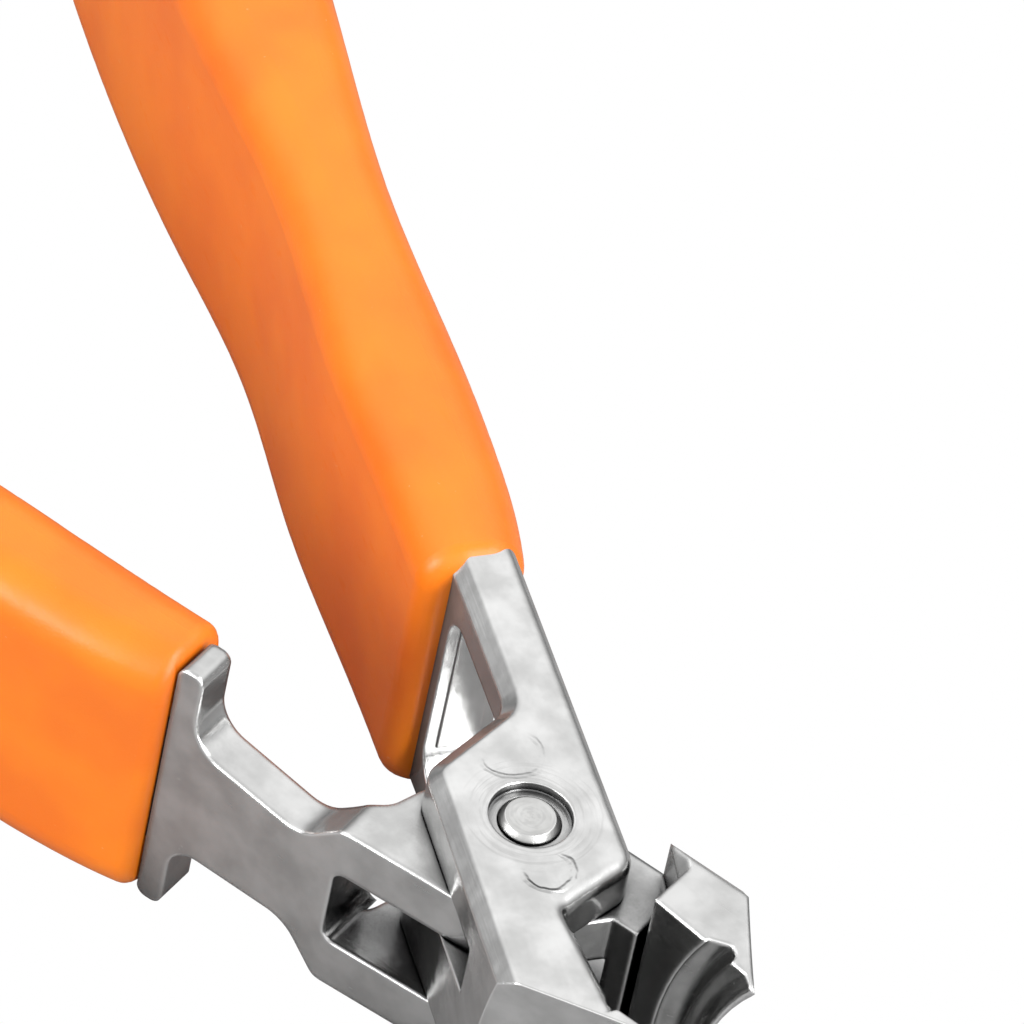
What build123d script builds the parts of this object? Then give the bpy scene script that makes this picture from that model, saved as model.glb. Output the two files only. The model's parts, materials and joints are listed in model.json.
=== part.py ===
"""Plier-type nail clipper: two crossing steel levers, one riveted pin and two moulded grips.

Each lever is drawn in its own plane, with U towards its jaw, V across the lever and Z along the pin, with the
pin's axis at the origin. The levers are then swung apart about the pin and lifted on to the ground.
The clipper lies on its side: +Z is the pin's axis, and +X is the line midway between the levers.
"""

from build123d import *
import math
import os

# --- Pose and travel ---------------------------------------------------------------------------------------
OPEN_ANGLE = 38.0          # between the two lever axes as stored
CLOSED_ANGLE = 16.0        # between the two lever axes when the cutting edges meet
EDGE_GAP = 0.05            # left between each cutting edge and the plane where the edges meet

# --- Head --------------------------------------------------------------------------------------------------
HEAD_WIDTH = 17.0          # across both cheeks
TONGUE_WIDTH = 4.8         # centre tongue of the box lever
PRONG_WIDTH = 3.0          # each prong of the fork lever
SIDE_CLEARANCE = 0.1       # between each prong and what it slides past
HUB_RADIUS = 4.0           # round the pin, on the fork lever
HUB_CLEARANCE = 0.45       # from the hub to the box lever's arm

# --- Pin ---------------------------------------------------------------------------------------------------
PIN_DIAMETER = 3.2
PIN_RUNNING_CLEARANCE = 0.04
PIN_CHAMFER = 0.3
PIN_RECESS = 0.1           # each end below the cheek
PIN_RING_DIAMETER = 4.35   # countersunk ring round each end of the pin
PIN_RING_DEPTH = 0.5

# --- Box lever, seen from the side -------------------------------------------------------------------------
ARM_END_B = 17.0           # from the pin to the grip's rim
ARM_UNDER_RIM = 1.5        # length of full-width arm that the rim covers
ARM_INNER_B = 1.1
ARM_OUTER_B = 4.65
ARM_INNER_CHAMFER = 0.8
ARM_OUTER_ROUND = 0.9
CHEEK_HEEL = (-4.2, -4.25)
CHEEK_THROAT = (-7.6, 1.05)
CHEEK_HEEL_ROUND = 1.6
CHEEK_THROAT_ROUND = 1.5
CHEEK_ROUND = 0.45         # edges of the cheeks' sides
JAW_FACE_B = -4.8
SLOT_FRONT = 5.75          # front end of the slots that the prongs pass through
NOTCH_TOP = (3.7, 4.5)
NOTCH_TOP_ROUND = 1.5
NOTCH_FOOT = (6.1, 0.0)
NOTCH_FOOT_ROUND = 0.5
ARM_SLOT_WIDTH = 12.0
ARM_SLOT_END = 16.1
ARM_SLOT_CORNER = 1.8
ARM_SLOT_TAPER = 2.0       # length over which the slot narrows into the box
BOX_DEPTH_SPARE = 0.3      # wall left between the box and the arm's inner face
BOSS_GAP = 0.1             # from the tongue's round top to the fork lever's hub radius
TONGUE_HEEL_ROUND = 1.2
WEB_OVERLAP = 0.5          # depth by which the tongue runs into the jaw

# --- Fork lever, seen from the side ------------------------------------------------------------------------
SHOULDER_BACK = 18.95      # from the pin to the grip side of the T shoulder
SHOULDER_THICKNESS = 1.5
SHOULDER_OUTER = -4.1
FORK_OUTER = -5.0
PLATE_THICKNESS = 2.5
PRONG_TOE = (2.85, -4.6)
NECK_AT_SHOULDER = 7.6
NECK_NARROWEST = 6.4
SHOULDER_CORNER = 0.6      # corners of the T shoulder's tabs
NECK_FILLET = 1.9          # where the neck meets the shoulder
NECK_WAIST_FILLET = 2.5
FORK_ROOT = 7.6            # from the pin to the closed end of the fork
FORK_FLARE = 2.4           # length over which the neck widens into the fork
FORK_CORNER = 1.2          # where the flare meets the prongs
FORK_FRONT = 6.0           # front end of the window between the prongs
FORK_ROOT_ROUND = 0.7      # corners of the window at the closed end of the fork
WEB_LENGTH = 1.8           # thicker web behind the closed end of the fork
WEB_TOP = -1.0
PRONG_TOE_ROUND = 0.4
PRONG_FRONT = [(4.0, -2.9), (5.9, -0.4)]
BRIDGE_TOP = 3.85
BRIDGE_FRONT = 7.4
HUB_TOP = (0.0, 4.0)
HUB_TOP_ROUND = 3.0
HUB_BACK = (-3.2, 3.0)
HUB_HEEL = (-6.2, 0.2)
HUB_ROUND = 1.5
HUB_FOOT = -7.0            # where the hub runs down on to the plate
HUB_BLEND = 1.6
HOOK_TOP = (6.1, 3.8)
HOOK_FOOT = (7.95, 1.9)
JAW_BACK_CHAMFER = 0.6     # outer edges of the fork lever's jaw
JAW_BACK_A = 3.5           # height of the jaw's outer face
JAW_HEEL_A = (7.9, -0.31)

# --- Cutting edges, in the plane where the jaws meet -------------------------------------------------------
TIP_REACH = 15.35          # from the pin to the corners of the edge
EDGE_RADIUS = 16.0         # the edge is an arc, hollow towards the front
BEVEL_REACH = 0.887        # radial run of the outer bevel for each millimetre of jaw height
LAND_LENGTH = 2.0          # inner land, measured back from the edge
LAND_DEPTH = 1.2
LAND_ROOT = 1.5            # depth by which the land runs into the jaw
RELIEF_LENGTH = 1.45       # shallow relief behind the land
RELIEF_DEPTH = 0.3
TIP_SPARE = 1.0            # length of jaw beyond the edge that the bevel cuts away
JAW_FRONT_DEPTH_B = 1.14   # from the meeting plane to the jaw's flat, at the front
JAW_FRONT_DEPTH_A = 0.5

# --- Grips and tangs ---------------------------------------------------------------------------------------
GRIP_WIDTH = 17.6
GRIP_LENGTH = 90.0
GRIP_CORNER = 2.5
GRIP_LIP_A = 0.85          # rounding of the rim next to the steel
GRIP_LIP_B = 1.2
GRIP_GAP = 0.15            # between grip_a's rim and the steel shoulder
TANG_WIDTH = 9.0
TANG_LENGTH = 74.0
TANG_THICKNESS = 2.2
TANG_CORNER = 3.0
TANG_ROOT = 1.0            # length by which the tang runs into the steel that shows
# The grip's outline: share of its length from the rim, and height above the lever's axis.
GRIP_OUTER = [(0.0, 5.15), (0.035, 5.75), (0.09, 6.1), (0.155, 6.15), (0.3, 5.85),
              (0.42, 6.6), (0.58, 7.6), (0.76, 7.9), (0.88, 7.5), (0.965, 6.9)]
GRIP_INNER = [(0.0, -0.5), (0.09, -0.6), (0.19, -0.75), (0.31, -0.25), (0.42, -1.05),
              (0.53, -1.6), (0.71, -1.2), (0.86, -0.1), (0.965, 0.6)]
GRIP_TAIL_MIDDLE = 3.75

HALF_HEAD = HEAD_WIDTH / 2
HALF_TONGUE = TONGUE_WIDTH / 2
PRONG_INNER = HALF_TONGUE + SIDE_CLEARANCE
PRONG_OUTER = PRONG_INNER + PRONG_WIDTH
CHEEK_INNER = PRONG_OUTER + SIDE_CLEARANCE
PIN_RADIUS = PIN_DIAMETER / 2
HALF_CLOSED = CLOSED_ANGLE / 2
SIN_HALF_CLOSED = math.sin(math.radians(HALF_CLOSED))
GROUND_TO_PIN_CENTRE = max(GRIP_WIDTH, HEAD_WIDTH) / 2
BIG = 60.0
NEAR = 0.4                 # how close an edge lies to a named height when it is picked
EPS = 0.01


def corner_near(shape, point):
    """Give the corner of a flat shape that is nearest to a point."""
    return min(shape.vertices(), key=lambda v: (v.X - point[0]) ** 2 + (v.Y - point[1]) ** 2)


def outline(points, rounds=()):
    """Make a flat shape from corner points, rounding the corners named as (point, radius)."""
    shape = make_face(Polyline(*points, close=True))
    for point, radius in rounds:
        shape = fillet(corner_near(shape, point), radius)
    return shape


def through(shape, half_width):
    """Extrude a side outline equally to both sides of the middle plane."""
    return extrude(shape, amount=half_width, both=True)


def plan(points, low, high, rounds=()):
    """Extrude an outline given as (u, z) points from one height V to another."""
    flat = outline([(u, -z) for u, z in points], [((u, -z), radius) for (u, z), radius in rounds])
    return Pos(0, low, 0) * Rot(-90, 0, 0) * extrude(flat, amount=high - low)


def block(u_range, v_range, half_width):
    """Make a box that is centred on the middle plane."""
    centre = Pos(sum(u_range) / 2, sum(v_range) / 2, 0)
    return centre * Box(u_range[1] - u_range[0], v_range[1] - v_range[0], 2 * half_width)


def ring_about_edge_centre(section):
    """Revolve (radius, height) points about the axis that the cutting edge is an arc of."""
    centre_u = TIP_REACH + math.sqrt(EDGE_RADIUS ** 2 - HALF_HEAD ** 2)
    return Pos(centre_u, 0, 0) * revolve(make_face(Polyline(*section, close=True)), Axis.Y, 360)


def closing_frame(side):
    """Turn the meeting plane's frame into a lever's own frame; side is +1 for the box lever."""
    return Rot(0, 0, side * HALF_CLOSED)


def tip_land(side):
    """Make the raised rim that carries the cutting edge; its jaw lies below the meeting plane if side is +1."""
    edge = -side * EDGE_GAP
    land = edge - side * LAND_DEPTH
    deep = land - side * LAND_ROOT
    rim = ring_about_edge_centre([
        (EDGE_RADIUS - LAND_LENGTH, edge),
        (EDGE_RADIUS, edge),
        (EDGE_RADIUS + LAND_LENGTH, land),
        (EDGE_RADIUS + LAND_LENGTH, deep),
        (EDGE_RADIUS - LAND_LENGTH, deep),
    ])
    return rim & block((HOOK_FOOT[0], TIP_REACH + TIP_SPARE), (-HEAD_WIDTH / 4, HEAD_WIDTH / 4), HALF_HEAD)


def tip_relief(side):
    """Make the cutter for the groove between the land and the flat of the jaw."""
    land = -side * (EDGE_GAP + LAND_DEPTH)
    start = EDGE_RADIUS + LAND_LENGTH
    return ring_about_edge_centre([
        (start - RELIEF_DEPTH, 0.0),
        (start, land),
        (start + RELIEF_LENGTH / 3, land - side * RELIEF_DEPTH),
        (start + RELIEF_LENGTH, land + side * RELIEF_DEPTH),
        (start + RELIEF_LENGTH, 0.0),
    ])


def tip_bevel(side):
    """Make the hollow conical cutter that leaves the outer bevel."""
    edge = -side * EDGE_GAP
    top = edge + side * LAND_ROOT
    height = HEAD_WIDTH / 2
    far = edge - side * height
    return ring_about_edge_centre([
        (0.0, top),
        (EDGE_RADIUS, top),
        (EDGE_RADIUS, edge),
        (EDGE_RADIUS + height * BEVEL_REACH, far),
        (0.0, far),
    ])


def tang(end, low, high):
    """Make the hidden bar that holds a grip, from the end of the arm backwards."""
    corners = [
        (-end + TANG_ROOT, TANG_WIDTH / 2),
        (-end - TANG_LENGTH, TANG_WIDTH / 2),
        (-end - TANG_LENGTH, -TANG_WIDTH / 2),
        (-end + TANG_ROOT, -TANG_WIDTH / 2),
    ]
    return plan(corners, low, high, [(corners[1], TANG_CORNER), (corners[2], TANG_CORNER)])


def tang_b():
    """Make the tang of the box lever."""
    middle = (ARM_INNER_B + ARM_OUTER_B) / 2
    return tang(ARM_END_B, middle - TANG_THICKNESS / 2, middle + TANG_THICKNESS / 2)


def tang_a():
    """Make the tang of the fork lever."""
    middle = SHOULDER_OUTER + PLATE_THICKNESS / 2
    return tang(SHOULDER_BACK, middle - TANG_THICKNESS / 2, middle + TANG_THICKNESS / 2)


def side_edges(body, chosen):
    """Give the edges on both flat sides of a lever whose middle point passes a test of (u, v)."""
    return [
        e for e in body.edges()
        if abs(abs(e.center().Z) - HALF_HEAD) < EPS and chosen(e.center().X, e.center().Y)
    ]


def make_lever_b():
    """Make the box lever: jaw, cheeks, tongue and slotted arm in one piece."""
    arm_back = -ARM_END_B - ARM_UNDER_RIM
    jaw_front = TIP_REACH + TIP_SPARE
    jaw_inner = TIP_REACH * SIN_HALF_CLOSED - JAW_FRONT_DEPTH_B
    side = outline(
        [
            (arm_back, ARM_INNER_B),
            CHEEK_THROAT,
            CHEEK_HEEL,
            (jaw_front, JAW_FACE_B),
            (jaw_front, jaw_inner),
            NOTCH_FOOT,
            NOTCH_TOP,
            (arm_back, ARM_OUTER_B),
        ],
        [
            (CHEEK_HEEL, CHEEK_HEEL_ROUND),
            (CHEEK_THROAT, CHEEK_THROAT_ROUND),
            (NOTCH_FOOT, NOTCH_FOOT_ROUND),
            (NOTCH_TOP, NOTCH_TOP_ROUND),
        ],
    )
    body = through(side, HALF_HEAD)
    throat_u = CHEEK_THROAT[0]
    arm_outer = side_edges(body, lambda u, v: v > NOTCH_TOP[1] - NEAR and u < NOTCH_TOP[0] - 1)
    body = fillet(arm_outer, ARM_OUTER_ROUND)
    arm_inner = side_edges(body, lambda u, v: abs(v - ARM_INNER_B) < NEAR and u < throat_u - 2)
    body = chamfer(arm_inner, ARM_INNER_CHAMFER)
    body = fillet(side_edges(body, lambda u, v: v < ARM_INNER_B - NEAR / 2 and u < -1 - v), CHEEK_ROUND)
    body -= block((-BIG, SLOT_FRONT), (-BIG, ARM_INNER_B - BOX_DEPTH_SPARE), CHEEK_INNER)
    hub_room = HUB_RADIUS + HUB_CLEARANCE
    body -= block((-hub_room, SLOT_FRONT), (-BIG, BIG), CHEEK_INNER)
    half_slot = ARM_SLOT_WIDTH / 2
    slot = [
        (-ARM_SLOT_END, half_slot),
        (-hub_room - ARM_SLOT_TAPER / 2, half_slot),
        (-hub_room + ARM_SLOT_TAPER / 2, CHEEK_INNER),
    ]
    slot += [(u, -z) for u, z in reversed(slot)]
    slot_corners = [(slot[0], ARM_SLOT_CORNER), (slot[-1], ARM_SLOT_CORNER)]
    body -= plan(slot, ARM_INNER_B - 2, ARM_OUTER_B + 2, slot_corners)
    body += through(Circle(HUB_RADIUS - BOSS_GAP), HALF_TONGUE)
    web_front = SLOT_FRONT + WEB_OVERLAP
    web = outline(
        [
            CHEEK_HEEL,
            (web_front, tongue_face(web_front)),
            (web_front, -BOX_DEPTH_SPARE),
            (0.0, 0.0),
            (CHEEK_HEEL[0], 0.0),
        ],
        [(CHEEK_HEEL, TONGUE_HEEL_ROUND)],
    )
    body += through(web, HALF_TONGUE)
    body += closing_frame(1) * tip_land(1)
    body -= closing_frame(1) * tip_relief(1)
    body -= closing_frame(1) * tip_bevel(1)
    body -= Cylinder(PIN_RADIUS, BIG)
    for end in (-1, 1):
        ring = Cylinder(PIN_RING_DIAMETER / 2, PIN_RING_DEPTH + EPS)
        body -= Pos(0, 0, end * (HALF_HEAD - PIN_RING_DEPTH / 2 + EPS / 2)) * ring
    return body + tang_b()


def tongue_face(u):
    """Give the height V of the box lever's front face at a place along it."""
    slope = (JAW_FACE_B - CHEEK_HEEL[1]) / (TIP_REACH + TIP_SPARE - CHEEK_HEEL[0])
    return CHEEK_HEEL[1] + slope * (u - CHEEK_HEEL[0])


def fork_plan():
    """Make the outline of the T shoulder, neck and prongs, seen from outside, as a tall prism."""
    shoulder_front = -SHOULDER_BACK + SHOULDER_THICKNESS
    upper = [
        (-SHOULDER_BACK, HALF_HEAD),
        (shoulder_front, HALF_HEAD),
        (shoulder_front, NECK_AT_SHOULDER / 2),
        (-FORK_ROOT - FORK_FLARE, NECK_NARROWEST / 2),
        (-FORK_ROOT, PRONG_OUTER),
        (BIG / 2, PRONG_OUTER),
    ]
    lower = [(u, -z) for u, z in reversed(upper)]
    radii = [SHOULDER_CORNER, SHOULDER_CORNER, NECK_FILLET, NECK_WAIST_FILLET, FORK_CORNER]
    rounds = [((u, sign * z), radius) for (u, z), radius in zip(upper, radii) for sign in (-1, 1)]
    return plan(upper + lower, -BIG, BIG, rounds)


def make_lever_a():
    """Make the fork lever: jaw, prongs, neck, T shoulder and tang in one piece."""
    shoulder_front = -SHOULDER_BACK + SHOULDER_THICKNESS
    shoulder_inner = SHOULDER_OUTER + PLATE_THICKNESS
    fork_inner = FORK_OUTER + PLATE_THICKNESS
    arm_side = [
        (-SHOULDER_BACK, SHOULDER_OUTER),
        (shoulder_front, SHOULDER_OUTER),
        (-FORK_ROOT, FORK_OUTER),
        PRONG_TOE,
        *PRONG_FRONT,
        (BRIDGE_FRONT, PRONG_FRONT[-1][1]),
        (BRIDGE_FRONT, BRIDGE_TOP),
        HUB_TOP,
        HUB_BACK,
        HUB_HEEL,
        (HUB_FOOT, fork_inner),
        (-FORK_ROOT - 1.0, fork_inner),
        (shoulder_front, shoulder_inner),
        (-SHOULDER_BACK, shoulder_inner),
    ]
    rounds = [(PRONG_TOE, PRONG_TOE_ROUND), (HUB_TOP, HUB_TOP_ROUND), (HUB_BACK, HUB_ROUND)]
    rounds += [(HUB_HEEL, HUB_ROUND), ((HUB_FOOT, fork_inner), HUB_BLEND)]
    body = through(outline(arm_side, rounds), HALF_HEAD) & fork_plan()
    jaw_front = TIP_REACH + TIP_SPARE
    jaw_side = outline(
        [
            HOOK_FOOT,
            JAW_HEEL_A,
            (jaw_front, JAW_FRONT_DEPTH_A - TIP_REACH * SIN_HALF_CLOSED),
            (jaw_front, JAW_BACK_A),
            HOOK_TOP,
        ]
    )
    jaw = through(jaw_side, HALF_HEAD)
    body += chamfer(side_edges(jaw, lambda u, v: v > HOOK_FOOT[1] and u < jaw_front - 1), JAW_BACK_CHAMFER)
    web_range = (-FORK_ROOT - WEB_LENGTH, -FORK_ROOT + FORK_ROOT_ROUND)
    body += block(web_range, (fork_inner - 1, WEB_TOP), PRONG_INNER)
    window = [(-FORK_ROOT, PRONG_INNER), (FORK_FRONT, PRONG_INNER), (FORK_FRONT, -PRONG_INNER)]
    window.append((-FORK_ROOT, -PRONG_INNER))
    body -= plan(window, -BIG, BIG, [(window[0], FORK_ROOT_ROUND), (window[3], FORK_ROOT_ROUND)])
    body += closing_frame(-1) * tip_land(-1)
    body -= closing_frame(-1) * tip_relief(-1)
    body -= closing_frame(-1) * tip_bevel(-1)
    body -= Cylinder(PIN_RADIUS + PIN_RUNNING_CLEARANCE, BIG)
    return body + tang_a()


def make_pivot_pin():
    """Make the riveted pin, just below flush with the cheeks."""
    length = HEAD_WIDTH - 2 * PIN_RECESS
    pin = Cylinder(PIN_RADIUS, length)
    return chamfer(pin.edges().filter_by(GeomType.CIRCLE), PIN_CHAMFER)


def make_grip(start, lip, steel):
    """Make a grip with its outer side up, from its rim at start backwards, moulded over the steel."""
    tail = start - GRIP_LENGTH
    outer_line = Spline(*[(start - share * GRIP_LENGTH, v) for share, v in GRIP_OUTER])
    inner_line = Spline(*[(start - share * GRIP_LENGTH, v) for share, v in GRIP_INNER])
    cap = ThreePointArc(outer_line @ 1, (tail, GRIP_TAIL_MIDDLE), inner_line @ 1)
    rim = Line(inner_line @ 0, outer_line @ 0)
    body = through(make_face([outer_line, cap, inner_line, rim]), GRIP_WIDTH / 2)
    long_edges = [
        e for e in body.edges()
        if abs(abs(e.center().Z) - GRIP_WIDTH / 2) < EPS and abs(e.center().X - start) > EPS
    ]
    body = fillet(long_edges, GRIP_CORNER)
    rim_edges = [e for e in body.edges() if abs(e.center().X - start) < EPS]
    body = fillet(rim_edges, lip)
    return body - steel


def main():
    """Build every piece, swing the levers apart, stand them on the ground and write one file for each."""
    lever_a = make_lever_a()
    lever_b = make_lever_b()
    grip_a = make_grip(-SHOULDER_BACK - GRIP_GAP, GRIP_LIP_A, mirror(lever_a, about=Plane.XZ))
    pieces_b = {
        "lever_b": lever_b,
        "pivot_pin": make_pivot_pin(),
        "grip_b": make_grip(-ARM_END_B, GRIP_LIP_B, lever_b),
    }
    pieces_a = {
        "lever_a": lever_a,
        "grip_a": mirror(grip_a, about=Plane.XZ),
    }
    placed = {name: Rot(0, 0, -OPEN_ANGLE / 2) * piece for name, piece in pieces_b.items()}
    placed.update({name: Rot(0, 0, OPEN_ANGLE / 2) * piece for name, piece in pieces_a.items()})
    box = Compound(children=[Part() + piece for piece in placed.values()]).bounding_box()
    middle = box.center()
    shift = Pos(-middle.X, -middle.Y, GROUND_TO_PIN_CENTRE)
    os.makedirs("parts", exist_ok=True)
    for name, piece in placed.items():
        export_step(shift * piece, f"parts/{name}.step")
    print(f"pin axis at x = {-middle.X:.4f} mm, y = {-middle.Y:.4f} mm")
    print(f"overall {box.size.X:.2f} x {box.size.Y:.2f} x {box.size.Z:.2f} mm")


if __name__ == "__main__":
    main()
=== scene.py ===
"""Looks of a plier-type nail clipper: two satin steel levers, a riveted pin and two moulded grips."""

import json
import logging
import math
from dataclasses import dataclass, field
from enum import Enum

import bpy
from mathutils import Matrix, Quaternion, Vector


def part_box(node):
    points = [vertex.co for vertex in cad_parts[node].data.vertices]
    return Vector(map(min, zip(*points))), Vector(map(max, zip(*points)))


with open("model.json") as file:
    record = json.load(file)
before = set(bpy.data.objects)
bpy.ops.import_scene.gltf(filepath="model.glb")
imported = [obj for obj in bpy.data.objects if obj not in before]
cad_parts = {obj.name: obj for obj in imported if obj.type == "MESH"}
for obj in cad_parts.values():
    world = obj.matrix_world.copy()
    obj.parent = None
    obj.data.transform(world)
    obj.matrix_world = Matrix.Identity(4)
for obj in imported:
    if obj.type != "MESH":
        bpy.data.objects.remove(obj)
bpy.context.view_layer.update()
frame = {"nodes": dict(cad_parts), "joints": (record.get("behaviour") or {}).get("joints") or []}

LOG = logging.getLogger("nail_clipper")
MM = 0.001

# The pin's place, the top of the box lever's cheek, and the angle of each lever from the middle line.
PIVOT = Vector(frame["joints"][0]["pos_m"])
CHEEK_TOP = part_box("lever_b")[1].z
HALF_OPEN = math.radians(19.0)

Colour = tuple[float, float, float]
Span = tuple[float, float]
WHITE = (1.0, 1.0, 1.0, 1.0)
ACROSS_PIN = (1.0, 1.0, 0.0)


class Slot(Enum):
    """The record's material slots."""

    BOX_STEEL = "box_lever_steel"
    FORK_STEEL = "fork_lever_steel"
    PIN_STEEL = "pin_steel"
    GRIP = "grip_orange"


@dataclass(frozen=True)
class ToolMark:
    """A shallow half-round dent left by a tool; lengths are in millimetres from the pin."""

    x: float
    y: float
    radius: float
    height: float


@dataclass(frozen=True)
class SteelFinish:
    """A satin steel surface; lengths are in millimetres, and spans are ranges of a noise or mask.

    The dark and light colours cloud into each other, arcs is the colour of the ground arcs round
    the pin, edge a painted highlight on the worn edges and hollow painted shade deep in the gaps.
    The two reaches say how far away another face still adds painted shade to a gap.
    """

    slot: Slot
    dark: Colour
    light: Colour
    roughness: float
    roughness_spread: float
    wave_depth: float
    wave_size: float
    brush_depth: float
    brush_angle: float
    ring_depth: float
    edge_radius: float
    marks: tuple[ToolMark, ...] = ()
    arcs: Colour = (0.38, 0.38, 0.375)
    arc_span: Span = (0.42, 0.66)
    arc_share: float = 0.35
    # Painted highlight along the edges; edge_polish below is the real smoothing that wear leaves there.
    edge: Colour = (0.93, 0.93, 0.925)
    edge_polish: float = 0.08
    # Painted shade deep in the gaps between the pieces.
    painted_gap_shade: Colour = (0.02, 0.02, 0.021)
    wide_reach: float = 6.0
    close_reach: float = 0.9
    cloud_polish: float = -0.35


@dataclass(frozen=True)
class GripFinish:
    """A moulded PVC surface; lengths are in millimetres, and spans are ranges of a noise or mask.

    The deep and body colours cloud into each other, rim is a painted shade on the faces that turn away
    from the view, dust that of the specks and in_steel the grey the steel reflects in place of the orange.
    The glow is the light that soaks into the PVC.
    """

    slot: Slot
    deep: Colour
    body: Colour
    # Painted shade on the faces that turn away from the view.
    rim: Colour
    roughness: float
    skin_depth: float
    cloud_span: Span = (0.3, 0.8)
    rim_blend: float = 0.28
    rim_shade_span: Span = (0.25, 0.9)
    rim_shade_share: float = 0.35
    dust: Colour = (0.96, 0.62, 0.36)
    dust_share: float = 0.22
    in_steel: Colour = (0.34, 0.32, 0.31)
    in_steel_share: float = 0.8
    scuff_roughness: float = 0.10
    glow_weight: float = 0.12
    glow_radius: Colour = (1.0, 0.35, 0.1)
    glow_depth: float = 1.2


BOX_STEEL = SteelFinish(
    slot=Slot.BOX_STEEL,
    dark=(0.54, 0.54, 0.535),
    light=(0.74, 0.74, 0.735),
    roughness=0.24,
    roughness_spread=0.14,
    wave_depth=0.035,
    wave_size=1.3,
    brush_depth=0.0035,
    brush_angle=HALF_OPEN,
    ring_depth=0.014,
    edge_radius=0.22,
    marks=(
        ToolMark(x=3.4, y=-1.4, radius=1.6, height=0.07),
        ToolMark(x=-3.9, y=1.5, radius=1.9, height=0.04),
    ),
)
FORK_STEEL = SteelFinish(
    slot=Slot.FORK_STEEL,
    dark=(0.50, 0.50, 0.495),
    light=(0.68, 0.68, 0.675),
    roughness=0.25,
    roughness_spread=0.16,
    wave_depth=0.05,
    wave_size=1.7,
    brush_depth=0.003,
    brush_angle=-HALF_OPEN,
    ring_depth=0.0,
    edge_radius=0.42,
)
PIN_STEEL = SteelFinish(
    slot=Slot.PIN_STEEL,
    dark=(0.50, 0.50, 0.49),
    light=(0.70, 0.70, 0.69),
    roughness=0.33,
    roughness_spread=0.12,
    wave_depth=0.02,
    wave_size=0.7,
    brush_depth=0.004,
    brush_angle=0.6,
    ring_depth=0.0,
    edge_radius=0.12,
)
GRIP_PVC = GripFinish(
    slot=Slot.GRIP,
    deep=(0.86, 0.175, 0.008),
    body=(0.95, 0.225, 0.008),
    rim=(0.84, 0.20, 0.03),
    roughness=0.36,
    skin_depth=0.10,
)


@dataclass
class Graph:
    """Adds and joins the nodes of one node tree."""

    tree: bpy.types.NodeTree

    def add(self, kind: str, **settings: object) -> bpy.types.Node:
        """Add a node.

        Args:
            kind: the node's type, without the leading "ShaderNode".
            settings: attributes to set on it.

        Returns:
            The new node.
        """
        node = self.tree.nodes.new("ShaderNode" + kind)
        for name, value in settings.items():
            setattr(node, name, value)
        return node

    def feed(self, target: bpy.types.NodeSocket, value: object) -> None:
        """Join a socket to another one, or give it a constant.

        Args:
            target: the input socket.
            value: an output socket or a constant.
        """
        if isinstance(value, bpy.types.NodeSocket):
            self.tree.links.new(value, target)
        else:
            target.default_value = value

    def math(
        self, operation: str, first: object, second: object = 0.0, third: object = 0.0, clamp: bool = False
    ) -> bpy.types.NodeSocket:
        """Work on up to three numbers.

        Args:
            operation: the Math node's operation.
            first: a socket or number.
            second: a socket or number.
            third: a socket or number, for the operations that take three.
            clamp: whether to keep the result between 0 and 1.

        Returns:
            The result.
        """
        node = self.add("Math", operation=operation, use_clamp=clamp)
        for target, value in zip(node.inputs, (first, second, third)):
            self.feed(target, value)
        return node.outputs[0]

    def vector(
        self, operation: str, first: object, second: object = (0.0, 0.0, 0.0)
    ) -> bpy.types.Node:
        """Work on one or two vectors.

        Args:
            operation: the Vector Math node's operation.
            first: a socket or vector.
            second: a socket or vector.

        Returns:
            The node.
        """
        node = self.add("VectorMath", operation=operation)
        self.feed(node.inputs[0], first)
        self.feed(node.inputs[1], second)
        return node

    def noise(self, position: object, scale: object, detail: float) -> bpy.types.NodeSocket:
        """Give a smooth random value at a place.

        Args:
            position: the place.
            scale: the number of features for each unit.
            detail: the number of finer layers.

        Returns:
            A value round 0.5.
        """
        node = self.add("TexNoise")
        self.feed(node.inputs["Vector"], position)
        self.feed(node.inputs["Scale"], scale)
        node.inputs["Detail"].default_value = detail
        return node.outputs["Fac"]

    def ramp(self, value: object, span: Span, ends: Span = (0.0, 1.0)) -> bpy.types.NodeSocket:
        """Spread part of a value's range over another range, with smooth ends.

        Args:
            value: the value to spread.
            span: the values that give the first and the last result.
            ends: the first and the last result.

        Returns:
            The result.
        """
        node = self.add("MapRange", interpolation_type="SMOOTHSTEP")
        self.feed(node.inputs["Value"], value)
        for name, number in zip(("From Min", "From Max", "To Min", "To Max"), (*span, *ends)):
            node.inputs[name].default_value = number
        return node.outputs["Result"]

    def split(self, vector: bpy.types.NodeSocket) -> bpy.types.NodeOutputs:
        """Take a vector apart.

        Args:
            vector: the vector's socket.

        Returns:
            Its X, Y and Z.
        """
        node = self.add("SeparateXYZ")
        self.feed(node.inputs[0], vector)
        return node.outputs

    def mix(self, factor: object, first: object, second: object) -> bpy.types.NodeSocket:
        """Mix two colours.

        Args:
            factor: share of the second colour.
            first: a colour, without its alpha, or its socket.
            second: a colour, without its alpha, or its socket.

        Returns:
            The mixed colour.
        """
        node = self.add("Mix", data_type="RGBA")
        self.feed(node.inputs["Factor"], factor)
        for target, value in zip((node.inputs[6], node.inputs[7]), (first, second)):
            self.feed(target, (*value, 1.0) if isinstance(value, tuple) else value)
        return node.outputs[2]

    def use(self, group: bpy.types.NodeTree, **given: object) -> bpy.types.NodeOutputs:
        """Place a shared group and feed its inputs.

        Args:
            group: the shared group.
            given: each input's name, with _ for a space, and its value.

        Returns:
            The outputs of the group's node.
        """
        node = self.add("Group")
        node.node_tree = group
        for name, value in given.items():
            self.feed(node.inputs[name.replace("_", " ")], value)
        return node.outputs


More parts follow.
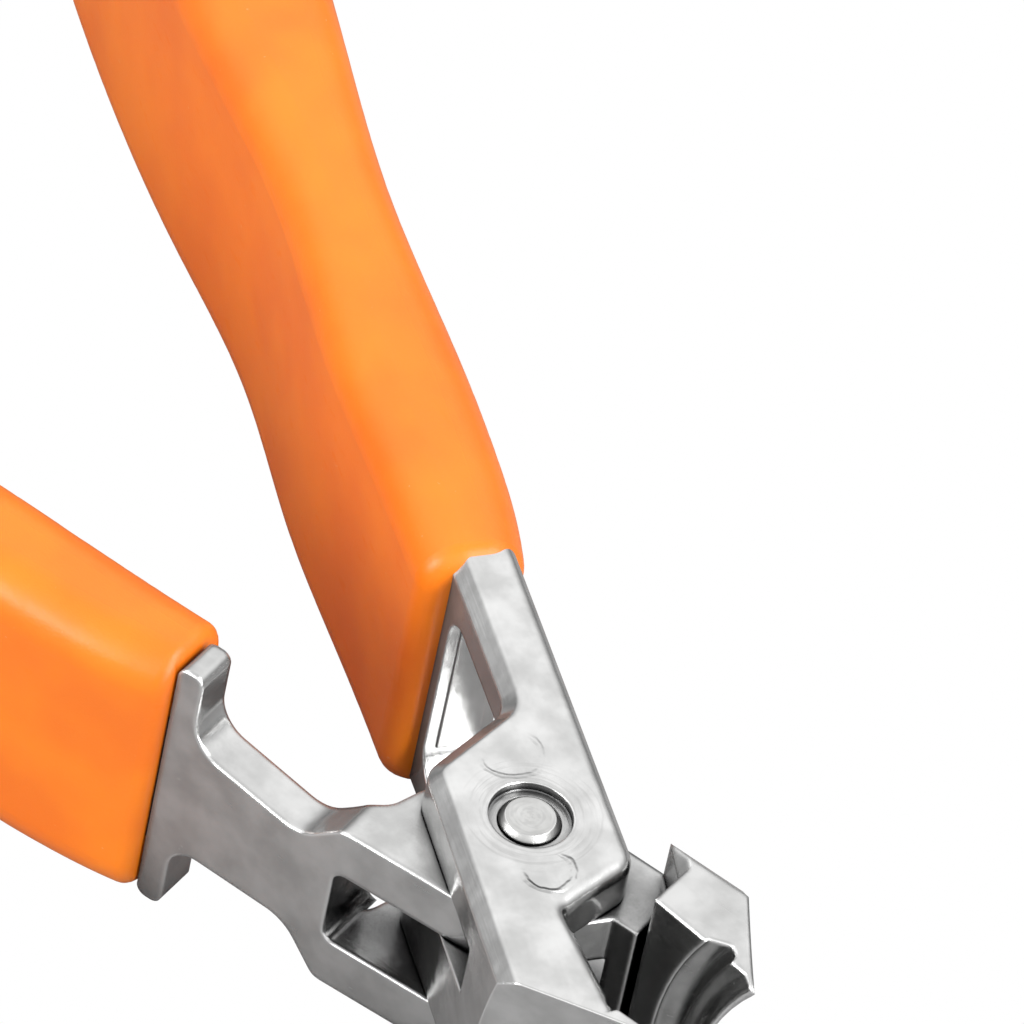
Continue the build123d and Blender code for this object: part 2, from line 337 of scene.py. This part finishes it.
@dataclass(frozen=True)
class GroupSizes:
    """Scales of the shared effects.

    Spans are ranges of a noise, mask or facing, but arc_fade and the last three of the mark's values
    are in millimetres; samples counts rays, and the rest are features for each millimetre or shares.
    """

    lines: Colour = (0.35, 9.0, 9.0)
    clouds: float = 0.45
    cloud_span: Span = (0.25, 0.75)
    arcs: float = 5.0
    arc_fade: Span = (6.5, 2.6)
    lies_across: Span = (0.9, 0.99)
    skin_broad: float = 0.16
    skin_fine: float = 7.0
    skin_fine_share: float = 0.10
    scuff_stretch: Colour = (0.5, 2.6, 2.6)
    scuffs: float = 0.6
    scuff_span: Span = (0.60, 0.74)
    specks: float = 2.4
    speck_span: Span = (0.74, 0.80)
    edge_turn: Span = (0.995, 0.90)
    mark_wobble: float = 0.8
    mark_wobble_size: float = 0.5
    mark_side: Span = (-0.9, 0.1)
    mark_width: Span = (0.22, 0.0)
    open_span: Span = (0.2, 0.8)
    samples: int = 8


class GroupLibrary:
    """Shader node groups that several materials share; each is built once."""

    def __init__(self, sizes: GroupSizes) -> None:
        """Build every group.

        Args:
            sizes: the scales of the effects.
        """
        self.sizes = sizes
        self.place = self._place()
        self.brushing = self._brushing()
        self.rings = self._rings()
        self.skin = self._skin()
        self.edges = self._edges()
        self.gap_shade_mask = self._gap_shade_mask()
        self.stamp = self._stamp()

    @staticmethod
    def _start(
        name: str, inputs: dict[str, str], outputs: dict[str, str]
    ) -> tuple[Graph, bpy.types.NodeOutputs, bpy.types.NodeInputs]:
        """Make an empty group with its sockets.

        Args:
            name: the group's name.
            inputs: each input's name and socket type.
            outputs: each output's name and socket type.

        Returns:
            The group's graph, the values given to it and the sockets of its results.
        """
        tree = bpy.data.node_groups.new(name, "ShaderNodeTree")
        for sockets, side in ((inputs, "INPUT"), (outputs, "OUTPUT")):
            for socket, kind in sockets.items():
                tree.interface.new_socket(socket, in_out=side, socket_type="NodeSocket" + kind)
        given = tree.nodes.new("NodeGroupInput")
        return Graph(tree), given.outputs, tree.nodes.new("NodeGroupOutput").inputs

    def _place(self) -> bpy.types.NodeTree:
        """Give the place on the piece in millimetres from the pin's middle.

        Returns:
            The group.
        """
        graph, given, result = self._start("place_mm", {"Pin": "Vector"}, {"Position": "Vector"})
        coords = graph.add("TexCoord")
        moved = graph.vector("SUBTRACT", coords.outputs["Object"], given["Pin"])
        scaled = graph.vector("MULTIPLY", moved.outputs[0], (1.0 / MM,) * 3)
        graph.feed(result["Position"], scaled.outputs[0])
        return graph.tree

    def _brushing(self) -> bpy.types.NodeTree:
        """Give fine straight grinding lines, a soft waviness and broad clouds.

        Returns:
            The group.
        """
        graph, given, result = self._start(
            "brushing",
            {"Position": "Vector", "Angle": "Float", "Wave Size": "Float"},
            {"Lines": "Float", "Waves": "Float", "Clouds": "Float"},
        )
        turn = graph.add("VectorRotate", rotation_type="Z_AXIS")
        graph.feed(turn.inputs["Vector"], given["Position"])
        graph.feed(turn.inputs["Angle"], given["Angle"])
        stretched = graph.vector("MULTIPLY", turn.outputs[0], self.sizes.lines).outputs[0]
        graph.feed(result["Lines"], graph.noise(stretched, 1.0, detail=4.0))
        per_mm = graph.math("DIVIDE", 1.0, given["Wave Size"])
        graph.feed(result["Waves"], graph.noise(given["Position"], per_mm, detail=1.5))
        clouds = graph.noise(given["Position"], self.sizes.clouds, detail=4.0)
        graph.feed(result["Clouds"], graph.ramp(clouds, self.sizes.cloud_span))
        return graph.tree

    def _rings(self) -> bpy.types.NodeTree:
        """Give arc-shaped grinding lines round the pin on the faces that lie across it.

        Returns:
            The group.
        """
        graph, given, result = self._start(
            "ring_marks", {"Position": "Vector"}, {"Arcs": "Float", "Amount": "Float"}
        )
        flat = graph.vector("MULTIPLY", given["Position"], ACROSS_PIN).outputs[0]
        radius = graph.vector("LENGTH", flat).outputs["Value"]
        bearing = graph.split(graph.vector("NORMALIZE", flat).outputs[0])
        join = graph.add("CombineXYZ")
        graph.feed(join.inputs["X"], graph.math("MULTIPLY", radius, self.sizes.arcs))
        graph.feed(join.inputs["Y"], bearing["X"])
        graph.feed(join.inputs["Z"], bearing["Y"])
        graph.feed(result["Arcs"], graph.noise(join.outputs[0], 1.0, detail=3.0))
        facing = graph.split(graph.add("NewGeometry").outputs["True Normal"])
        across = graph.ramp(graph.math("ABSOLUTE", facing["Z"]), self.sizes.lies_across)
        fade = graph.ramp(radius, self.sizes.arc_fade)
        graph.feed(result["Amount"], graph.math("MULTIPLY", across, fade))
        return graph.tree

    def _skin(self) -> bpy.types.NodeTree:
        """Give the faint unevenness of moulded PVC, small scuffs and pale dust specks.

        Returns:
            The group.
        """
        sizes = self.sizes
        graph, given, result = self._start(
            "moulded_skin",
            {"Position": "Vector"},
            {"Unevenness": "Float", "Scuffs": "Float", "Specks": "Float"},
        )
        place = given["Position"]
        broad = graph.noise(place, sizes.skin_broad, detail=2.0)
        fine = graph.noise(place, sizes.skin_fine, detail=4.0)
        faint = graph.math("MULTIPLY", fine, sizes.skin_fine_share)
        graph.feed(result["Unevenness"], graph.math("ADD", broad, faint))
        stretched = graph.vector("MULTIPLY", place, sizes.scuff_stretch).outputs[0]
        scuffs = graph.noise(stretched, sizes.scuffs, detail=5.0)
        graph.feed(result["Scuffs"], graph.ramp(scuffs, sizes.scuff_span))
        specks = graph.noise(place, sizes.specks, detail=2.0)
        graph.feed(result["Specks"], graph.ramp(specks, sizes.speck_span))
        return graph.tree

    def _edges(self) -> bpy.types.NodeTree:
        """Give a rounded normal near sharp edges, and a mask that is 1 on those edges, for a worn polish
        and a painted highlight there.

        Returns:
            The group.
        """
        graph, given, result = self._start(
            "worn_and_highlit_edges", {"Radius": "Float"}, {"Normal": "Vector", "Mask": "Float"}
        )
        bevel = graph.add("Bevel", samples=self.sizes.samples)
        graph.feed(bevel.inputs["Radius"], given["Radius"])
        true = graph.add("NewGeometry").outputs["True Normal"]
        same = graph.vector("DOT_PRODUCT", bevel.outputs[0], true).outputs["Value"]
        graph.feed(result["Normal"], bevel.outputs[0])
        graph.feed(result["Mask"], graph.ramp(same, self.sizes.edge_turn))
        return graph.tree

    def _gap_shade_mask(self) -> bpy.types.NodeTree:
        """Give a mask for painted shade: 1 in the open, falling to 0 deep between the pieces.

        Returns:
            The group.
        """
        graph, given, result = self._start("gap_shade_mask", {"Reach": "Float"}, {"Open": "Float"})
        shade = graph.add("AmbientOcclusion", samples=self.sizes.samples)
        graph.feed(shade.inputs["Distance"], given["Reach"])
        graph.feed(result["Open"], graph.ramp(shade.outputs["AO"], self.sizes.open_span))
        return graph.tree

    def _stamp(self) -> bpy.types.NodeTree:
        """Give the raised rim of a shallow, half-round tool mark, with its radius measured across the pin.

        Returns:
            The group.
        """
        sizes = self.sizes
        graph, given, result = self._start(
            "tool_mark", {"Position": "Vector", "Middle": "Vector", "Radius": "Float"}, {"Rim": "Float"}
        )
        noise = graph.noise(given["Position"], sizes.mark_wobble, detail=2.0)
        wobble = graph.math("MULTIPLY", noise, sizes.mark_wobble_size)
        away = graph.vector("SUBTRACT", given["Position"], given["Middle"]).outputs[0]
        flat = graph.vector("MULTIPLY", away, ACROSS_PIN).outputs[0]
        radius = graph.math("ADD", graph.vector("LENGTH", flat).outputs["Value"], wobble)
        off_rim = graph.math("ABSOLUTE", graph.math("SUBTRACT", radius, given["Radius"]))
        half = graph.ramp(graph.split(flat)["X"], sizes.mark_side)
        rim = graph.ramp(off_rim, sizes.mark_width)
        graph.feed(result["Rim"], graph.math("MULTIPLY", rim, half))
        return graph.tree


class FinishMaker:
    """Makes each finish's material once and gives it to the pieces."""

    def __init__(self) -> None:
        """Make the shared node groups."""
        self.groups = GroupLibrary(GroupSizes())
        self.made: dict[Slot, bpy.types.Material] = {}

    @staticmethod
    def _material(slot: Slot) -> tuple[bpy.types.Material, Graph, bpy.types.NodeInputs]:
        """Make a material and find its main shader.

        Args:
            slot: the slot that names it.

        Returns:
            The material, its graph and the inputs of its Principled node.
        """
        material = bpy.data.materials.new(slot.value)
        material.use_nodes = True
        shader = material.node_tree.nodes["Principled BSDF"]
        return material, Graph(material.node_tree), shader.inputs

    @staticmethod
    def _relief(graph: Graph, height: bpy.types.NodeSocket) -> bpy.types.Node:
        """Make a bump whose height is in millimetres.

        Args:
            graph: the material's graph.
            height: the height.

        Returns:
            The Bump node.
        """
        bump = graph.add("Bump")
        bump.inputs["Distance"].default_value = MM
        graph.feed(bump.inputs["Height"], height)
        return bump

    def steel(self, finish: SteelFinish, pin: Vector) -> bpy.types.Material:
        """Make a satin steel.

        Args:
            finish: the steel's finish.
            pin: the middle of the pin in the piece's own coordinates.

        Returns:
            The material.
        """
        material, graph, shader = self._material(finish.slot)
        groups = self.groups
        place = graph.use(groups.place, Pin=tuple(pin))["Position"]
        brush = graph.use(
            groups.brushing, Position=place, Angle=finish.brush_angle, Wave_Size=finish.wave_size
        )
        rings = graph.use(groups.rings, Position=place)
        edges = graph.use(groups.edges, Radius=finish.edge_radius * MM)
        colour = graph.mix(brush["Clouds"], finish.dark, finish.light)
        arc_lines = graph.math("MULTIPLY", rings["Arcs"], rings["Amount"])
        arc_mask = graph.ramp(arc_lines, finish.arc_span, (0.0, finish.arc_share))
        # Painted highlight: the worn edges are lightened to the edge colour, over the clouds and ground
        # arcs.
        bright = graph.mix(edges["Mask"], graph.mix(arc_mask, colour, finish.arcs), finish.edge)
        # Painted shade: where other faces are close, the steel is darkened towards the hollow colour.
        wide = graph.use(groups.gap_shade_mask, Reach=finish.wide_reach * MM)["Open"]
        close = graph.use(groups.gap_shade_mask, Reach=finish.close_reach * MM)["Open"]
        unshaded_share = graph.math("MULTIPLY", wide, close)
        graph.feed(shader["Base Color"], graph.mix(unshaded_share, finish.painted_gap_shade, bright))
        shader["Metallic"].default_value = 1.0
        off_middle = graph.math("SUBTRACT", brush["Lines"], 0.5)
        shift = graph.math("MULTIPLY", off_middle, finish.roughness_spread)
        cloud_shift = graph.math("MULTIPLY", brush["Clouds"], finish.roughness_spread * finish.cloud_polish)
        rough = graph.math("ADD", graph.math("ADD", shift, cloud_shift), finish.roughness)
        polish = graph.math("MULTIPLY", edges["Mask"], finish.edge_polish)
        graph.feed(shader["Roughness"], graph.math("SUBTRACT", rough, polish, clamp=True))
        lines = graph.math("MULTIPLY", brush["Lines"], finish.brush_depth)
        waves = graph.math("MULTIPLY", brush["Waves"], finish.wave_depth)
        arcs = graph.math("MULTIPLY", arc_lines, finish.ring_depth)
        height = graph.math("ADD", graph.math("ADD", lines, waves), arcs)
        for mark in finish.marks:
            rim = graph.use(groups.stamp, Position=place, Middle=(mark.x, mark.y, 0.0), Radius=mark.radius)
            height = graph.math("ADD", height, graph.math("MULTIPLY", rim["Rim"], mark.height))
        bump = self._relief(graph, height)
        graph.feed(bump.inputs["Normal"], edges["Normal"])
        graph.feed(shader["Normal"], bump.outputs[0])
        return material

    def grip(self, finish: GripFinish, pin: Vector) -> bpy.types.Material:
        """Make the moulded grip's surface.

        Args:
            finish: the grip's finish.
            pin: the middle of the pin in the piece's own coordinates.

        Returns:
            The material.
        """
        material, graph, shader = self._material(finish.slot)
        place = graph.use(self.groups.place, Pin=tuple(pin))["Position"]
        skin = graph.use(self.groups.skin, Position=place)
        weight = graph.add("LayerWeight")
        weight.inputs["Blend"].default_value = finish.rim_blend
        clouds = graph.ramp(skin["Unevenness"], finish.cloud_span)
        colour = graph.mix(clouds, finish.deep, finish.body)
        # Painted shade: faces that turn away from the view are darkened towards the rim colour.
        rim_shade_mask = graph.ramp(weight.outputs["Facing"], finish.rim_shade_span, (0.0, finish.rim_shade_share))
        rim_shaded = graph.mix(rim_shade_mask, colour, finish.rim)
        dusty = graph.mix(graph.math("MULTIPLY", skin["Specks"], finish.dust_share), rim_shaded, finish.dust)
        reflected = graph.add("LightPath").outputs["Is Glossy Ray"]
        greyed = graph.math("MULTIPLY", reflected, finish.in_steel_share)
        graph.feed(shader["Base Color"], graph.mix(greyed, dusty, finish.in_steel))
        rough = graph.math("MULTIPLY_ADD", skin["Scuffs"], finish.scuff_roughness, finish.roughness)
        graph.feed(shader["Roughness"], rough)
        shader["Subsurface Weight"].default_value = finish.glow_weight
        shader["Subsurface Radius"].default_value = finish.glow_radius
        shader["Subsurface Scale"].default_value = finish.glow_depth * MM
        bump = self._relief(graph, graph.math("MULTIPLY", skin["Unevenness"], finish.skin_depth))
        graph.feed(shader["Normal"], bump.outputs[0])
        return material

    def dress(self, finishes: dict[str, SteelFinish | GripFinish]) -> dict[str, Slot]:
        """Give CAD pieces their materials.

        Args:
            finishes: each piece's name and its finish.

        Returns:
            Each piece's name and the slot of its material.
        """
        for name, finish in finishes.items():
            node = frame["nodes"][name]
            if finish.slot not in self.made:
                pin = node.matrix_world.inverted() @ PIVOT
                make = self.grip if isinstance(finish, GripFinish) else self.steel
                self.made[finish.slot] = make(finish, pin)
            node.data.materials.clear()
            node.data.materials.append(self.made[finish.slot])
        return {name: finish.slot for name, finish in finishes.items()}


@dataclass(frozen=True)
class ForkLever:
    """The fork lever, whose prongs pass through the box lever, and its grip."""

    lever: SteelFinish = FORK_STEEL
    sleeve: GripFinish = GRIP_PVC

    def dress(self, maker: FinishMaker) -> dict[str, Slot]:
        """Dress the lever and its grip."""
        return maker.dress({"lever_a": self.lever, "grip_a": self.sleeve})


@dataclass(frozen=True)
class BoxLever:
    """The box lever, the pin riveted in it and its grip."""

    lever: SteelFinish = BOX_STEEL
    pin: SteelFinish = PIN_STEEL
    sleeve: GripFinish = GRIP_PVC

    def dress(self, maker: FinishMaker) -> dict[str, Slot]:
        """Dress the lever, the pin and the grip."""
        return maker.dress({"lever_b": self.lever, "pivot_pin": self.pin, "grip_b": self.sleeve})


@dataclass(frozen=True)
class Softbox:
    """A soft area light that looks at the pin, with its place measured from there."""

    name: str
    place: tuple[float, float, float]
    size: tuple[float, float]
    power: float


@dataclass
class Studio:
    """Floor, lights and camera; angles are in degrees and lengths in metres, but lens and sensor in mm."""

    azimuth: float = 45.2
    elevation: float = 46.05
    roll: float = 12.48
    lens: float = 500.0
    sensor: float = 36.0
    clip: Span = (0.01, 10.0)
    view_width: float = 51.2 * MM
    aim_right: float = -0.95 * MM
    aim_up: float = 15.15 * MM
    floor_half: float = 3.0
    floor_height: float = -0.03 * MM
    floor_grey: Colour = (0.30, 0.30, 0.30)
    floor_roughness: float = 0.9
    floor_specular: float = 0.1
    sky_rise: Span = (0.05, 0.70)
    sky_strength: Span = (0.26, 1.24)
    zenith_span: Span = (0.78, 0.98)
    zenith_dip: float = 0.5
    boxes: list[Softbox] = field(default_factory=lambda: [
        Softbox("key", (0.42, 0.22, 0.62), (0.34, 0.34), 2.4),
        Softbox("rim", (0.60, 0.05, 0.25), (0.20, 0.50), 2.2),
        Softbox("fill", (-0.20, -0.70, 0.30), (0.55, 0.30), 3.6),
    ])

    def build(self) -> None:
        """Make the camera, the floor and the lights."""
        self.camera()
        self.floor()
        self.sky()
        for box in self.boxes:
            self.softbox(box)
        bpy.context.scene.view_settings.view_transform = "Standard"

    def camera(self) -> None:
        """Place the camera over the head of the clipper."""
        data = bpy.data.cameras.new("camera")
        data.lens = self.lens
        data.sensor_width = self.sensor
        data.clip_start, data.clip_end = self.clip
        camera = bpy.data.objects.new("camera", data)
        bpy.context.scene.collection.objects.link(camera)
        bpy.context.scene.camera = camera
        turn, rise = math.radians(self.azimuth), math.radians(self.elevation)
        level = math.cos(rise)
        back = Vector((math.sin(turn) * level, -math.cos(turn) * level, math.sin(rise)))
        camera.rotation_mode = "QUATERNION"
        upright = (-back).to_track_quat("-Z", "Y")
        camera.rotation_quaternion = upright @ Quaternion((0, 0, 1), math.radians(self.roll))
        right = camera.rotation_quaternion @ Vector((1, 0, 0))
        up = camera.rotation_quaternion @ Vector((0, 1, 0))
        target = Vector((PIVOT.x, PIVOT.y, CHEEK_TOP)) + right * self.aim_right + up * self.aim_up
        camera.location = target + back * (self.view_width / self.sensor * self.lens)

    def floor(self) -> None:
        """Make the floor: white where the camera sees it, grey to the rest and clear from below."""
        half, low = self.floor_half, self.floor_height
        corners = [(-half, -half, low), (half, -half, low), (half, half, low), (-half, half, low)]
        mesh = bpy.data.meshes.new("floor")
        mesh.from_pydata(corners, [], [(0, 1, 2, 3)])
        floor = bpy.data.objects.new("floor", mesh)
        bpy.context.scene.collection.objects.link(floor)
        material = bpy.data.materials.new("floor")
        material.use_nodes = True
        graph = Graph(material.node_tree)
        shader = material.node_tree.nodes["Principled BSDF"]
        shader.inputs["Base Color"].default_value = (*self.floor_grey, 1.0)
        shader.inputs["Roughness"].default_value = self.floor_roughness
        shader.inputs["Specular IOR Level"].default_value = self.floor_specular
        glow = graph.add("Emission")
        glow.inputs["Color"].default_value = WHITE
        seen = graph.add("LightPath").outputs["Is Camera Ray"]
        below = graph.add("NewGeometry").outputs["Backfacing"]
        clear = graph.add("BsdfTransparent").outputs[0]
        surface = shader.outputs[0]
        for share, other in ((seen, glow.outputs[0]), (below, clear)):
            blend = graph.add("MixShader")
            graph.feed(blend.inputs[0], share)
            graph.feed(blend.inputs[1], surface)
            graph.feed(blend.inputs[2], other)
            surface = blend.outputs[0]
        graph.feed(material.node_tree.nodes["Material Output"].inputs["Surface"], surface)
        mesh.materials.append(material)

    def sky(self) -> None:
        """Make a bright sky, darker near the horizon and overhead, for contrast in the steel."""
        world = bpy.data.worlds.new("studio")
        world.use_nodes = True
        graph = Graph(world.node_tree)
        height = graph.split(graph.add("TexCoord").outputs["Generated"])["Z"]
        rising = graph.ramp(height, self.sky_rise, self.sky_strength)
        overhead = graph.ramp(height, self.zenith_span, (0.0, self.zenith_dip))
        background = world.node_tree.nodes["Background"]
        background.inputs["Color"].default_value = WHITE
        graph.feed(background.inputs["Strength"], graph.math("SUBTRACT", rising, overhead))
        bpy.context.scene.world = world

    def softbox(self, box: Softbox) -> None:
        """Make one soft light.

        Args:
            box: its name, place, size and power.
        """
        data = bpy.data.lights.new(box.name, "AREA")
        data.shape = "RECTANGLE"
        data.size, data.size_y = box.size
        data.energy = box.power
        light = bpy.data.objects.new(box.name, data)
        bpy.context.scene.collection.objects.link(light)
        light.location = PIVOT + Vector(box.place)
        light.rotation_mode = "QUATERNION"
        light.rotation_quaternion = (-Vector(box.place)).to_track_quat("-Z", "Y")


def main() -> None:
    """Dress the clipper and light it."""
    logging.basicConfig(level=logging.INFO)
    maker = FinishMaker()
    for lever in (ForkLever(), BoxLever()):
        for piece, slot in lever.dress(maker).items():
            LOG.info("%s has %s", piece, slot.value)
    Studio().build()
    LOG.info("floor, lights and camera are in place")


if __name__ == "__main__":
    main()
